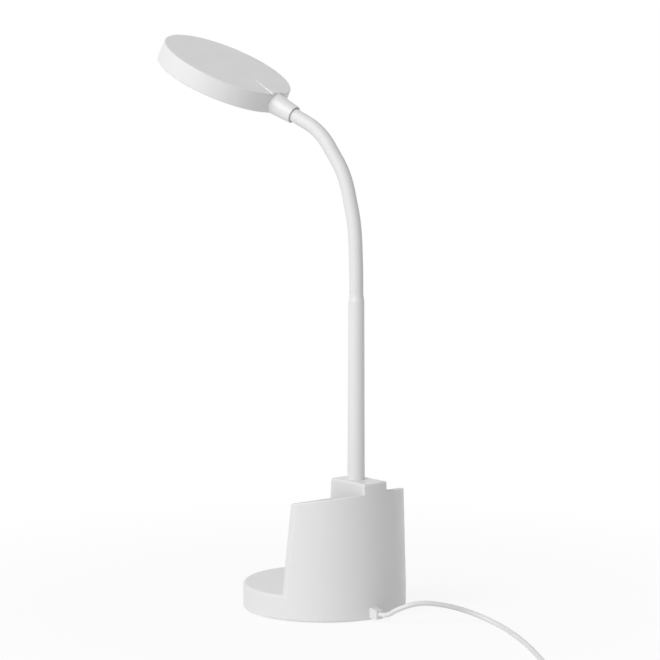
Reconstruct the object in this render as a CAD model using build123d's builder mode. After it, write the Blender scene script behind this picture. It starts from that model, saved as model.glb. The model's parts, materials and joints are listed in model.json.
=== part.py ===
"""Desk lamp on an organiser base: a round base disc carries a half-moon tower with two pen compartments
and a small drawer. A tapered pole stands in the tower's middle block, and a gooseneck on top of it holds
a round, flat head of LEDs. A thin supply cable leaves the back of the base.

Millimetres, +Z up, the user sits at -Y, and the origin is the middle of the base disc on the desk."""

from build123d import *

import os
from math import atan, cos, degrees, dist, hypot, pi, radians, sin, sqrt, tan

os.makedirs("parts", exist_ok=True)

# ---- Base disc and organiser tower -------------------------------------------------------------------
BASE_RADIUS = 65.0
FOOT_PROUD = 1.0  # the rubber feet lift the disc this far off the desk
DISC_TOP = 20.6
DISC_EDGE = 2.0  # rounding of the disc's top edge
DISC_FOOT_EDGE = 1.2
WALL = 2.4
SKIN = 2.4  # thickness of the disc's top
SIDE_DRAFT = 1.5  # degrees that the tower's round wall leans in
TOWER_ROOT = 3.0  # the tower's wall starts this far below the disc's top
FRONT_FOOT_Y = 15.2  # where the tower's flat front meets the disc
FRONT_LEAN = 4.1  # degrees that the flat front leans back
CORNER_RADIUS = 7.8
RIM_AT_AXIS = 87.7  # height of the sloping rim over the disc's axis
RIM_SLOPE = 11.3  # degrees, lower in front
RIM_EDGE = 0.9
BLOCK_HALF = 12.0  # half the width of the block that holds the pole
BLOCK_TOP = 108.1
BLOCK_EDGE = 1.6
BLOCK_CAP = 3.0
CUP_FLOOR = 2.4

# ---- Drawer ------------------------------------------------------------------------------------------
BAY_HALF = 46.0
BAY_HEIGHT = 21.6
DRAWER_GAP = 0.4
DRAWER_LIFT = 0.3
DRAWER_WALL = 1.6
DRAWER_FRONT = 2.4
DRAWER_BACK_Y = 50.0
STOP_HALF = 4.0
STOP_HEIGHT = 1.9
PULL_RADIUS = 9.0
PULL_DEPTH = 6.0

# ---- Pole and what clamps it -------------------------------------------------------------------------
POLE_Y = 38.4
POLE_FOOT_RADIUS = 6.85
POLE_TOP_RADIUS = 6.25
POLE_CONE = 2.4  # the pole narrows to the neck over this length
NECK_CONE = 1.8  # and the neck's foot goes on narrowing over this one
POLE_TOP = 251.0
POLE_BORE = 2.6
POLE_FIT = 0.1
SHELF_TOP = 62.0
SHELF = 5.0
THREAD_RADIUS = 4.0
THREAD_LENGTH = 11.5
NUT_FLATS = 12.0
NUT_HEIGHT = 5.0
WASHER_RADIUS = 7.2
WASHER = 1.0
NUT_POCKET = 7.0

# ---- Gooseneck: lengths of neck joined by balls, with the lead through their middle -------------------
NECK_RADIUS = 5.45
NECK_LENGTH = 163.6
NECK_JOINTS = 12
SWAY_EVERY = 3  # every third joint bends sideways, and the others bend forwards
NECK_LEAN = 63.9  # degrees from upright at the head
NECK_TURN = 18.0  # degrees that the neck's plane is turned from straight ahead
BEND_END = 154.0  # the neck is straight beyond this length
BEND_POWER = 2.24
BALL_RADIUS = 4.9
BALL_GAP = 0.15
SHOULDER = 1.25
NECK_BORE = 2.6
SPIGOT_RADIUS = 4.5
SPIGOT_LENGTH = 14.0
STRAIGHT = 0.1  # degrees under which two lengths of neck count as in line

# ---- Head --------------------------------------------------------------------------------------------
HEAD_TOP_RADIUS = 53.8
HEAD_FOOT_RADIUS = 54.1
HEAD_THICKNESS = 15.7
HEAD_EDGE = 1.0
HEAD_WALL = 2.0
HUB_REACH = 72.9  # from the head's axis to the mouth of its socket
HUB_MOUTH_RADIUS = 7.15
HUB_WIDE_RADIUS = 8.8
HUB_WIDE_AT = 52.0
HUB_TIP_AT = 30.0
RIDGE_END_AT = 52.6  # the ridge on the head's top widens from the hub's tip to the rim
RIDGE_HALF = 7.6
RIDGE_LOW = 0.5
RIDGE_HIGH = 1.1
HUB_RECESS = 4.0
HUB_RECESS_GAP = 0.6
HUB_SPIGOT = 10.0
BOARD_RADIUS = 44.0
BOARD = 1.6
BOARD_DROP = 3.7  # from the head's top to the LED board
POST_RADIUS = 3.0
HEAD_POSTS = 3
HEAD_POST_RING = 26.0
HEAD_POST_TURN = 60.0
LED_COUNT = 24
LED_RING = 34.0
LED_SIDE = 3.0
LED_HEIGHT = 0.7
DIFFUSER_RADIUS = 49.5
DIFFUSER = 1.5
BEZEL_INNER = 46.5
BEZEL_LIP = 1.4
BEZEL_GAP = 0.1
REFLECTOR = 0.8
LED_PLUG = (5.0, 6.0, 4.0)
LED_PLUG_AT = 40.0

# ---- Inside the base ---------------------------------------------------------------------------------
PLATE = 2.0
PLATE_GAP = 0.3
BASE_POST = (45.0, 26.0)
BASE_POST_RADIUS = 3.5
SCREW_RADIUS = 1.25
SCREW_HEAD_RADIUS = 2.6
SCREW_HEAD = 1.4
BOARD_SCREW_HEAD_RADIUS = 2.0
FOOT_RADIUS = 6.0
FOOT_RING = 50.0
FOOT_RECESS = 0.8
FOOT_PLACES = ((0, 0), (FOOT_RING, 0), (0, FOOT_RING), (-FOOT_RING, 0), (0, -FOOT_RING))
WEIGHT_RADIUS = 46.0
WEIGHT = 6.0
DIMMER_SIZE = (44.0, 46.0)
DIMMER_Y = -15.0
DIMMER_Z = 11.0
DIMMER = 1.6
DIMMER_POSTS = (18.0, 19.0)
KEY_Y = -28.0
KEY_RADIUS = 8.0
KEY_FLANGE = 1.6
KEY_PROUD = 0.2
KEY_GAP = 0.15
CONTACT_RADIUS = 3.0
CONNECTOR = (16.0, 6.0, 3.6)
CONNECTOR_X = 3.15

# ---- Cables ------------------------------------------------------------------------------------------
LEAD_RADIUS = 1.2
LEAD_BACK_Y = 54.5
LEAD_TURN_Z = 46.0
LEAD_BEND = 4.0
CABLE_RADIUS = 1.95
RELIEF_X = 4.9
RELIEF_HALF = 3.6
RELIEF_FOOT = 2.4
RELIEF_BACK_Y = 72.6
RELIEF_WALL_TOP = 10.6
RELIEF_BACK_TOP = 9.2
RELIEF_NECK = 2.8
RELIEF_CLAMP = 4.0
EXIT_Z = 6.2
SUPPLY_BEND_Y = 50.0
SUPPLY_BEND = 3.9
CABLE_ROUTE = (
    (4.9, RELIEF_BACK_Y, 6.2),
    (4.9, 80.6, 6.2),
    (3.6, 91.2, 13.4),
    (-10.0, 102.8, 19.0),
    (-28.5, 113.0, 15.6),
    (-47.2, 121.5, 8.6),
    (-55.5, 140.5, 2.0),
    (-44.2, 167.0, 2.0),
    (-25.8, 203.5, 2.0),
    (2.0, 248.0, 2.0),
    (25.0, 283.0, 2.0),
    (48.0, 314.5, 2.0),
)
TAIL_ROUTE = (  # across and along from the coil's end, and down from it
    (0.0, 0.0, 0.0),
    (-1.7, 16.2, 0.0),
    (7.3, 34.2, -2.5),
    (26.3, 39.2, -2.5),
)
RUN_SHARE = 0.45  # share of the shorter run that a bend of a cable takes up
COIL_MIDDLE = 22.5  # radius at the middle of the coil's turns
COIL_PITCH = 4.5  # between the turns of a layer
COIL_RISE = 4.5  # between the two layers
COIL_TURNS = 4  # in the lower layer
GAP_POINTS = 1200
LEAST_GAP = 0.4
PLUG_BODY = (16.0, 30.0, 8.0)
PLUG_EDGE = 2.0
PLUG_SHELL = (12.0, 18.8, 4.5)
PLUG_SHEET = 0.4
PLUG_TONGUE = (10.6, 16.0, 1.9)

# ---- Places worked out from the sizes ----------------------------------------------------------------
UNDERSIDE = FOOT_PROUD
CEILING = DISC_TOP - SKIN
BAY_TOP = DISC_TOP + BAY_HEIGHT
CUP_BOTTOM = BAY_TOP + CUP_FLOOR
TOWER_FOOT = DISC_TOP - TOWER_ROOT
LEAD_Z = DIMMER_Z + DIMMER + CONNECTOR[2] / 2
JOINT_PITCH = NECK_LENGTH / NECK_JOINTS
CONE_RADIUS = NECK_RADIUS + (POLE_TOP_RADIUS - NECK_RADIUS) * NECK_CONE / (NECK_CONE + POLE_CONE)
HEAD_HALF = HEAD_THICKNESS / 2
HEAD_INNER = HEAD_TOP_RADIUS - HEAD_WALL
RIM_NORMAL = (0, -sin(radians(RIM_SLOPE)), cos(radians(RIM_SLOPE)))
RIM_PLANE = Plane((0, 0, RIM_AT_AXIS), x_dir=(1, 0, 0), z_dir=RIM_NORMAL)


def wall_radius(height):
    """Radius of the tower's round wall at a height."""
    return BASE_RADIUS - tan(radians(SIDE_DRAFT)) * (height - TOWER_FOOT)


def front_plane(inset):
    """The tower's leaning front, moved back by an inset. It faces the back."""
    lean = radians(FRONT_LEAN)
    return Plane((0, FRONT_FOOT_Y, DISC_TOP), x_dir=(1, 0, 0), z_dir=(0, cos(lean), -sin(lean))).offset(inset)


def half_moon(inset, bottom, top):
    """The tower's form between two heights: round and drafted at the back, flat and leaning in front."""
    with BuildPart() as form:
        with BuildSketch(Plane.XY.offset(bottom)):
            Circle(wall_radius(bottom) - inset)
        extrude(amount=top - bottom, taper=SIDE_DRAFT)
        split(bisect_by=front_plane(inset), keep=Keep.TOP)
        upright = form.edges().filter_by(lambda edge: edge.bounding_box().size.Z > (top - bottom) / 2)
        fillet(upright, CORNER_RADIUS - inset)
    return form.part


def bend_angle(along):
    """Lean of the neck from upright, in degrees, at a length along it."""
    return NECK_LEAN * min(along / BEND_END, 1.0) ** BEND_POWER


def sways(joint):
    """True for a joint of the neck that bends sideways."""
    return joint % SWAY_EVERY == SWAY_EVERY - 1


def neck_direction(lean):
    """Unit vector along the neck where it leans by so many degrees."""
    turn = radians(NECK_TURN)
    side = sin(radians(lean))
    return Vector(side * sin(turn), -side * cos(turn), cos(radians(lean)))


def link_leans():
    """Lean of each length of neck: it changes only at the joints that bend forwards."""
    leans, lean = [0.0], 0.0
    for joint in range(NECK_JOINTS):
        if not sways(joint):
            lean = bend_angle((joint + (1.5 if sways(joint + 1) else 1.0)) * JOINT_PITCH)
        leans.append(lean)
    leans[-1] = leans[-2] = NECK_LEAN
    return leans


def joint_places(leans):
    """Centre of each joint of the neck, and the mouth of the head's socket."""
    place = Vector(0, POLE_Y, POLE_TOP) + neck_direction(0) * (JOINT_PITCH / 2)
    places = [place]
    for joint in range(1, NECK_JOINTS):
        place = place + neck_direction(leans[joint]) * JOINT_PITCH
        places.append(place)
    return places, place + neck_direction(leans[-1]) * (JOINT_PITCH / 2)


LEANS = link_leans()
JOINTS, MOUTH = joint_places(LEANS)
PITCH_AXIS = Vector(cos(radians(NECK_TURN)), sin(radians(NECK_TURN)), 0)
HUB_AXIS = neck_direction(NECK_LEAN)
HEAD_CENTRE = MOUTH + HUB_AXIS * HUB_REACH
HEAD_UP = HUB_AXIS.cross(PITCH_AXIS)
HEAD_PLANE = Plane(HEAD_CENTRE, x_dir=HUB_AXIS * -1, z_dir=HEAD_UP)


def save(piece, name):
    """Label a finished piece and write it to its own file."""
    piece.part.label = name
    export_step(piece.part, f"parts/{name}.step")


# ---- Forms of the tower that several cuts share -------------------------------------------------------
tower_solid = half_moon(0, TOWER_FOOT, BLOCK_TOP)
cup_solid = half_moon(WALL, CUP_BOTTOM, BLOCK_TOP + WALL)
hollow_solid = half_moon(WALL, BAY_TOP - WALL, BLOCK_TOP - BLOCK_CAP)

with BuildPart() as tower:
    add(tower_solid)
    split(bisect_by=RIM_PLANE, keep=Keep.BOTTOM)
    fillet(tower.faces().sort_by(Axis.Z)[-1].edges(), RIM_EDGE)

with BuildPart() as block:
    add(tower_solid)
    with BuildSketch(Plane.XY.offset(TOWER_FOOT)):
        Rectangle(2 * BLOCK_HALF, 3 * BASE_RADIUS)
    extrude(amount=BLOCK_TOP - TOWER_FOOT, mode=Mode.INTERSECT)
    uprights = block.edges().filter_by(lambda edge: edge.bounding_box().size.Z > BLOCK_TOP / 2)
    fillet(uprights, BLOCK_EDGE)
    fillet(block.faces().sort_by(Axis.Z)[-1].edges(), BLOCK_EDGE)

with BuildPart() as cups:
    add(cup_solid)
    with BuildSketch(Plane.XY.offset(CUP_BOTTOM)):
        Rectangle(2 * BLOCK_HALF, 3 * BASE_RADIUS)
    extrude(amount=BLOCK_TOP, mode=Mode.SUBTRACT)

with BuildPart() as block_hollow:
    add(hollow_solid)
    with BuildSketch(Plane.XY.offset(BAY_TOP - WALL)):
        Rectangle(2 * (BLOCK_HALF - WALL), 3 * BASE_RADIUS)
    extrude(amount=BLOCK_TOP, mode=Mode.INTERSECT)


def rounds_cup(edge):
    """True for an edge of the rim that goes round a compartment, and isn't on the block."""
    on_rim = all(abs(RIM_PLANE.to_local_coords(edge @ t).Z) < RIM_EDGE / 50 for t in (0, 0.5, 1))
    middle = edge @ 0.5
    reach = wall_radius(middle.Z) - WALL
    return on_rim and abs(middle.X) > BLOCK_HALF + WALL and hypot(middle.X, middle.Y) < reach + WALL / 4


def drawer_plan(gap, back):
    """Plan of the drawer or its bay: straight sides, round rear corners and a flat back."""
    Circle(wall_radius(BAY_TOP) - WALL - gap)
    Rectangle(2 * (BAY_HALF - gap), 3 * BASE_RADIUS, mode=Mode.INTERSECT)
    with Locations((0, back / 2)):
        Rectangle(3 * BASE_RADIUS, back, mode=Mode.INTERSECT)


with BuildPart() as base_mouldings:
    with BuildSketch(Plane.XY.offset(UNDERSIDE)):
        Circle(BASE_RADIUS)
    extrude(amount=DISC_TOP - UNDERSIDE)
    fillet(base_mouldings.edges().filter_by(GeomType.CIRCLE).sort_by(Axis.Z)[-1], DISC_EDGE)
    fillet(base_mouldings.edges().filter_by(GeomType.CIRCLE).sort_by(Axis.Z)[0], DISC_FOOT_EDGE)
    add(tower.part)
    add(block.part)
    add(cups.part, mode=Mode.SUBTRACT)
    fillet(base_mouldings.edges().filter_by(rounds_cup), RIM_EDGE)
    # the disc's hollow, and the posts that take the bottom plate's screws and the dimmer board
    with BuildSketch(Plane.XY.offset(UNDERSIDE)):
        Circle(BASE_RADIUS - WALL)
    extrude(amount=CEILING - UNDERSIDE, mode=Mode.SUBTRACT)
    with BuildSketch(Plane.XY.offset(UNDERSIDE + PLATE)):
        with GridLocations(2 * BASE_POST[0], 2 * BASE_POST[1], 2, 2):
            Circle(BASE_POST_RADIUS)
            Circle(SCREW_RADIUS, mode=Mode.SUBTRACT)
    extrude(amount=CEILING - UNDERSIDE - PLATE)
    with BuildSketch(Plane.XY.offset(DIMMER_Z + DIMMER)):
        with Locations((0, DIMMER_Y)):
            with GridLocations(2 * DIMMER_POSTS[0], 2 * DIMMER_POSTS[1], 2, 2):
                Circle(BASE_POST_RADIUS - 1)
                Circle(SCREW_RADIUS, mode=Mode.SUBTRACT)
    extrude(amount=CEILING - DIMMER_Z - DIMMER)
    # the drawer's bay, open through the leaning front
    with BuildSketch(Plane.XY.offset(DISC_TOP)):
        drawer_plan(0, BASE_RADIUS)
    extrude(amount=BAY_HEIGHT, mode=Mode.SUBTRACT)
    # the block's hollow, and in it the boss with the pole's bore, shelf and nut pocket
    add(block_hollow.part, mode=Mode.SUBTRACT)
    with BuildSketch(Plane.XY.offset(SHELF_TOP - SHELF - NUT_POCKET)):
        with Locations((0, POLE_Y)):
            Circle(BLOCK_HALF - WALL / 2)
    extrude(amount=BLOCK_TOP - BLOCK_CAP / 2 - SHELF_TOP + SHELF + NUT_POCKET)
    with Locations((0, POLE_Y, SHELF_TOP)):
        Cylinder(
            POLE_FOOT_RADIUS + POLE_FIT,
            BLOCK_TOP,
            align=(Align.CENTER, Align.CENTER, Align.MIN),
            mode=Mode.SUBTRACT,
        )
        Cylinder(THREAD_RADIUS + POLE_FIT, 3 * SHELF, mode=Mode.SUBTRACT)
    with Locations((0, POLE_Y, SHELF_TOP - SHELF)):
        Cylinder(
            WASHER_RADIUS + POLE_FIT,
            NUT_POCKET,
            align=(Align.CENTER, Align.CENTER, Align.MAX),
            mode=Mode.SUBTRACT,
        )
    # holes for the touch key, the lead and the strain relief
    with Locations((0, KEY_Y, CEILING)):
        Cylinder(KEY_RADIUS + KEY_GAP, 3 * SKIN, mode=Mode.SUBTRACT)
    with Locations((0, LEAD_BACK_Y, CEILING)):
        Cylinder(2 * LEAD_RADIUS, 3 * SKIN, mode=Mode.SUBTRACT)
    with Locations((RELIEF_X, BASE_RADIUS, EXIT_Z)):
        Box(2 * RELIEF_NECK, 4 * WALL, 2 * RELIEF_NECK, mode=Mode.SUBTRACT)

# the disc and the organiser are two mouldings, flush with each other round the back
for keep, name in ((Keep.BOTTOM, "base_shell"), (Keep.TOP, "organiser_shell")):
    with BuildPart() as moulding:
        add(base_mouldings.part)
        split(bisect_by=Plane.XY.offset(DISC_TOP), keep=keep)
    save(moulding, name)

with BuildPart() as bottom_plate:
    with BuildSketch(Plane.XY.offset(UNDERSIDE)):
        Circle(BASE_RADIUS - WALL - PLATE_GAP)
    extrude(amount=PLATE)
    with Locations(Plane.XY.offset(UNDERSIDE)):
        with GridLocations(2 * BASE_POST[0], 2 * BASE_POST[1], 2, 2):
            Cylinder(SCREW_RADIUS, 3 * PLATE, mode=Mode.SUBTRACT)
            Cylinder(SCREW_HEAD_RADIUS, 2 * SCREW_HEAD, mode=Mode.SUBTRACT)
        with Locations(*FOOT_PLACES):
            Cylinder(FOOT_RADIUS, 2 * FOOT_RECESS, mode=Mode.SUBTRACT)
save(bottom_plate, "bottom_plate")

with BuildPart() as rubber_feet:
    with BuildSketch():
        with Locations(*FOOT_PLACES):
            Circle(FOOT_RADIUS)
    extrude(amount=FOOT_PROUD + FOOT_RECESS)
    fillet(rubber_feet.edges().filter_by(GeomType.CIRCLE).group_by(Axis.Z)[0], FOOT_PROUD / 3)
save(rubber_feet, "rubber_feet")

with BuildPart() as base_screws:
    with BuildSketch(Plane.XY.offset(UNDERSIDE)):
        with GridLocations(2 * BASE_POST[0], 2 * BASE_POST[1], 2, 2):
            Circle(SCREW_HEAD_RADIUS)
    extrude(amount=SCREW_HEAD)
    with BuildSketch(Plane.XY.offset(UNDERSIDE)):
        with GridLocations(2 * BASE_POST[0], 2 * BASE_POST[1], 2, 2):
            Circle(SCREW_RADIUS)
    extrude(amount=CEILING - UNDERSIDE - SKIN)
save(base_screws, "base_screws")

with BuildPart() as counterweight:
    with BuildSketch(Plane.XY.offset(UNDERSIDE + PLATE)):
        Circle(WEIGHT_RADIUS)
    extrude(amount=WEIGHT)
    chamfer(counterweight.edges().filter_by(GeomType.CIRCLE), FOOT_RECESS)
save(counterweight, "counterweight")

with BuildPart() as dimmer_board:
    with BuildSketch(Plane.XY.offset(DIMMER_Z)):
        with Locations((0, DIMMER_Y)):
            Rectangle(*DIMMER_SIZE)
            with GridLocations(2 * DIMMER_POSTS[0], 2 * DIMMER_POSTS[1], 2, 2):
                Circle(SCREW_RADIUS, mode=Mode.SUBTRACT)
    extrude(amount=DIMMER)
save(dimmer_board, "dimmer_board")

with BuildPart() as board_screws:
    for height, radius, length in (
        (DIMMER_Z, SCREW_RADIUS, 2 * SKIN),
        (DIMMER_Z - SCREW_HEAD, BOARD_SCREW_HEAD_RADIUS, SCREW_HEAD),
    ):
        with BuildSketch(Plane.XY.offset(height)):
            with Locations((0, DIMMER_Y)):
                with GridLocations(2 * DIMMER_POSTS[0], 2 * DIMMER_POSTS[1], 2, 2):
                    Circle(radius)
        extrude(amount=length)
save(board_screws, "board_screws")

with BuildPart() as board_chips:
    with BuildSketch(Plane.XY.offset(DIMMER_Z + DIMMER)):
        with Locations((11, -12)):
            Rectangle(6, 5)
        with Locations((-11, -14)):
            Rectangle(7, 7)
    extrude(amount=KEY_FLANGE)
save(board_chips, "board_chips")

with BuildPart() as board_connector:
    with BuildSketch(Plane.XY.offset(DIMMER_Z + DIMMER)):
        with Locations((CONNECTOR_X, DIMMER_Y + DIMMER_SIZE[1] / 2 - CONNECTOR[1] / 2)):
            Rectangle(CONNECTOR[0], CONNECTOR[1])
    extrude(amount=CONNECTOR[2])
save(board_connector, "board_connector")

with BuildPart() as touch_key:
    with BuildSketch(Plane.XY.offset(CEILING - KEY_FLANGE)):
        with Locations((0, KEY_Y)):
            Circle(KEY_RADIUS + KEY_FLANGE)
    extrude(amount=KEY_FLANGE)
    with BuildSketch(Plane.XY.offset(CEILING)):
        with Locations((0, KEY_Y)):
            Circle(KEY_RADIUS)
    extrude(amount=SKIN + KEY_PROUD)
    fillet(touch_key.edges().filter_by(GeomType.CIRCLE).sort_by(Axis.Z)[-1], KEY_PROUD)
save(touch_key, "touch_key")

with BuildPart() as touch_contact:
    with BuildSketch(Plane.XY.offset(DIMMER_Z + DIMMER)):
        with Locations((0, KEY_Y)):
            Circle(CONTACT_RADIUS)
    extrude(amount=CEILING - KEY_FLANGE - DIMMER_Z - DIMMER)
save(touch_contact, "touch_contact")

with BuildPart() as strain_relief:
    relief_depth = RELIEF_BACK_Y - BASE_RADIUS + 2 * CORNER_RADIUS
    with BuildSketch(Plane.YZ.offset(RELIEF_X)):
        with BuildLine():
            Polyline(
                (RELIEF_BACK_Y - relief_depth, RELIEF_FOOT),
                (RELIEF_BACK_Y, RELIEF_FOOT),
                (RELIEF_BACK_Y, RELIEF_BACK_TOP),
                (BASE_RADIUS, RELIEF_WALL_TOP),
                (RELIEF_BACK_Y - relief_depth, RELIEF_WALL_TOP),
                close=True,
            )
        make_face()
    extrude(amount=RELIEF_HALF, both=True)
    outer_edges = strain_relief.edges().filter_by(lambda edge: edge.center().Y > BASE_RADIUS + 1)
    fillet(outer_edges, DISC_FOOT_EDGE / 2)
    Cylinder(BASE_RADIUS, BLOCK_TOP, mode=Mode.SUBTRACT)
    with Locations((RELIEF_X, BASE_RADIUS, EXIT_Z)):
        Box(2 * RELIEF_NECK, 4 * WALL, 2 * RELIEF_NECK)
    with Locations((RELIEF_X, BASE_RADIUS - 2 * WALL, EXIT_Z)):
        Box(
            2 * RELIEF_HALF,
            RELIEF_CLAMP,
            2 * RELIEF_NECK,
            align=(Align.CENTER, Align.MAX, Align.CENTER),
        )
save(strain_relief, "strain_relief")


# ---- Drawer ------------------------------------------------------------------------------------------
def front_y(height):
    """Where the tower's leaning front stands at a height."""
    return FRONT_FOOT_Y + tan(radians(FRONT_LEAN)) * (height - DISC_TOP)


DRAWER_FOOT = DISC_TOP + DRAWER_LIFT
DRAWER_TOP = BAY_TOP - DRAWER_GAP

with BuildPart() as drawer_front:
    with BuildSketch(Plane.YZ):
        with BuildLine():
            Polyline(
                (front_y(DRAWER_FOOT), DRAWER_FOOT),
                (front_y(DRAWER_TOP), DRAWER_TOP),
                (front_y(DRAWER_TOP) + DRAWER_FRONT, DRAWER_TOP),
                (front_y(DRAWER_FOOT) + DRAWER_FRONT, DRAWER_FOOT),
                close=True,
            )
        make_face()
    extrude(amount=BAY_HALF - DRAWER_GAP, both=True)
    with Locations(Location((0, front_y(DRAWER_TOP), DRAWER_TOP + PULL_RADIUS - PULL_DEPTH), (90, 0, 0))):
        Cylinder(PULL_RADIUS, 4 * DRAWER_FRONT, mode=Mode.SUBTRACT)
    fillet(drawer_front.edges().filter_by(Axis.X).group_by(Axis.Y)[0], DRAWER_GAP)
save(drawer_front, "drawer_front")

with BuildPart() as drawer_tray:
    with BuildSketch(Plane.XY.offset(DRAWER_FOOT)):
        drawer_plan(DRAWER_GAP, DRAWER_BACK_Y)
    extrude(amount=DRAWER_TOP - DRAWER_FOOT)
    split(bisect_by=front_plane(DRAWER_FRONT * cos(radians(FRONT_LEAN))), keep=Keep.TOP)
with BuildPart() as tray_hollow:
    with BuildSketch(Plane.XY.offset(DRAWER_FOOT + DRAWER_WALL)):
        drawer_plan(DRAWER_GAP + DRAWER_WALL, DRAWER_BACK_Y - DRAWER_WALL)
    extrude(amount=DRAWER_TOP - DRAWER_FOOT)
    split(bisect_by=front_plane(DRAWER_FRONT * cos(radians(FRONT_LEAN)) + DRAWER_WALL), keep=Keep.TOP)
with drawer_tray:
    add(tray_hollow.part, mode=Mode.SUBTRACT)
    with Locations((0, front_y(DRAWER_TOP), DRAWER_TOP)):
        with Locations(Location((0, DRAWER_FRONT, PULL_RADIUS - PULL_DEPTH), (90, 0, 0))):
            Cylinder(PULL_RADIUS, 4 * DRAWER_FRONT, mode=Mode.SUBTRACT)
    with Locations((0, DRAWER_BACK_Y, DRAWER_TOP - DRAWER_WALL)):
        Box(
            2 * STOP_HALF,
            DRAWER_WALL,
            DRAWER_WALL + STOP_HEIGHT,
            align=(Align.CENTER, Align.MAX, Align.MIN),
        )
save(drawer_tray, "drawer_tray")

# ---- Pole --------------------------------------------------------------------------------------------
with BuildPart() as pole:
    with BuildSketch(Plane.YZ) as pole_half:
        with BuildLine():
            Polyline(
                (POLE_Y + POLE_BORE, SHELF_TOP - THREAD_LENGTH),
                (POLE_Y + THREAD_RADIUS, SHELF_TOP - THREAD_LENGTH),
                (POLE_Y + THREAD_RADIUS, SHELF_TOP),
                (POLE_Y + POLE_FOOT_RADIUS, SHELF_TOP),
                (POLE_Y + POLE_FOOT_RADIUS, BLOCK_TOP),
                (POLE_Y + POLE_TOP_RADIUS, POLE_TOP - POLE_CONE),
                (POLE_Y + CONE_RADIUS, POLE_TOP),
                (POLE_Y + SPIGOT_RADIUS, POLE_TOP),
                (POLE_Y + SPIGOT_RADIUS, POLE_TOP - SPIGOT_LENGTH),
                (POLE_Y + POLE_BORE, POLE_TOP - SPIGOT_LENGTH),
                close=True,
            )
        make_face()
    revolve(axis=Axis((0, POLE_Y, 0), (0, 0, 1)))
save(pole, "pole")

with BuildPart() as pole_washer:
    with BuildSketch(Plane.XY.offset(SHELF_TOP - SHELF - WASHER)):
        with Locations((0, POLE_Y)):
            Circle(WASHER_RADIUS)
            Circle(THREAD_RADIUS + POLE_FIT, mode=Mode.SUBTRACT)
    extrude(amount=WASHER)
save(pole_washer, "pole_washer")

with BuildPart() as pole_nut:
    with BuildSketch(Plane.XY.offset(SHELF_TOP - SHELF - WASHER - NUT_HEIGHT)):
        with Locations((0, POLE_Y)):
            RegularPolygon(NUT_FLATS / 2, 6, major_radius=False)
            Circle(THREAD_RADIUS, mode=Mode.SUBTRACT)
    extrude(amount=NUT_HEIGHT)
save(pole_nut, "pole_nut")


# ---- Gooseneck ---------------------------------------------------------------------------------------
def along_neck(place, direction):
    """Sketch plane through a length of neck: X across the neck's plane, and Y along the neck."""
    return Plane(place, x_dir=PITCH_AXIS, z_dir=PITCH_AXIS.cross(direction))


SOCKET_RADIUS = BALL_RADIUS + BALL_GAP
BALL_SIDE = sqrt(BALL_RADIUS**2 - SHOULDER**2)
BALL_DEPTH = sqrt(BALL_RADIUS**2 - NECK_BORE**2)
SOCKET_LIP = sqrt(SOCKET_RADIUS**2 - SHOULDER**2)
SOCKET_DEPTH = sqrt(SOCKET_RADIUS**2 - NECK_BORE**2)
SLANT = sqrt(0.5)


def ball_lines():
    """The lower end of a length of neck: a ball round the origin, and the shoulder above it."""
    ThreePointArc(
        (NECK_BORE, -BALL_DEPTH),
        (BALL_RADIUS * SLANT, -BALL_RADIUS * SLANT),
        (BALL_SIDE, SHOULDER),
    )
    Line((BALL_SIDE, SHOULDER), (NECK_RADIUS, SHOULDER))


def socket_lines(centre):
    """The upper end of a length of neck: its rim, and the socket for the next ball."""
    Line((NECK_RADIUS, centre - SHOULDER), (SOCKET_LIP, centre - SHOULDER))
    ThreePointArc(
        (SOCKET_LIP, centre - SHOULDER),
        (SOCKET_RADIUS * SLANT, centre - SOCKET_RADIUS * SLANT),
        (NECK_BORE, centre - SOCKET_DEPTH),
    )


with BuildPart() as neck_foot:
    foot_plane = along_neck((0, POLE_Y, POLE_TOP), Vector(0, 0, 1))
    with BuildSketch(foot_plane):
        with BuildLine():
            Polyline(
                (NECK_BORE, JOINT_PITCH / 2 - SOCKET_DEPTH),
                (NECK_BORE, -SPIGOT_LENGTH),
                (SPIGOT_RADIUS, -SPIGOT_LENGTH),
                (SPIGOT_RADIUS, 0),
                (CONE_RADIUS, 0),
                (NECK_RADIUS, NECK_CONE),
                (NECK_RADIUS, JOINT_PITCH / 2 - SHOULDER),
            )
            socket_lines(JOINT_PITCH / 2)
        make_face()
    revolve(axis=Axis((0, POLE_Y, POLE_TOP), (0, 0, 1)))
save(neck_foot, "neck_foot")

for link in range(1, NECK_JOINTS):
    direction = neck_direction(LEANS[link])
    with BuildPart() as neck_segment:
        with BuildSketch(along_neck(JOINTS[link - 1], direction)):
            with BuildLine():
                ball_lines()
                Line((NECK_RADIUS, SHOULDER), (NECK_RADIUS, JOINT_PITCH - SHOULDER))
                socket_lines(JOINT_PITCH)
                Line((NECK_BORE, JOINT_PITCH - SOCKET_DEPTH), (NECK_BORE, -BALL_DEPTH))
            make_face()
        revolve(axis=Axis(JOINTS[link - 1], direction))
    save(neck_segment, f"neck_segment_{link:02d}")

NECK_END_LENGTH = JOINT_PITCH / 2 + HUB_RECESS

with BuildPart() as neck_end:
    with BuildSketch(along_neck(JOINTS[-1], HUB_AXIS)):
        with BuildLine():
            ball_lines()
            Polyline(
                (NECK_RADIUS, SHOULDER),
                (NECK_RADIUS, NECK_END_LENGTH),
                (SPIGOT_RADIUS, NECK_END_LENGTH),
                (SPIGOT_RADIUS, NECK_END_LENGTH + HUB_SPIGOT),
                (NECK_BORE, NECK_END_LENGTH + HUB_SPIGOT),
                (NECK_BORE, -BALL_DEPTH),
            )
        make_face()
    revolve(axis=Axis(JOINTS[-1], HUB_AXIS))
save(neck_end, "neck_end")

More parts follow.
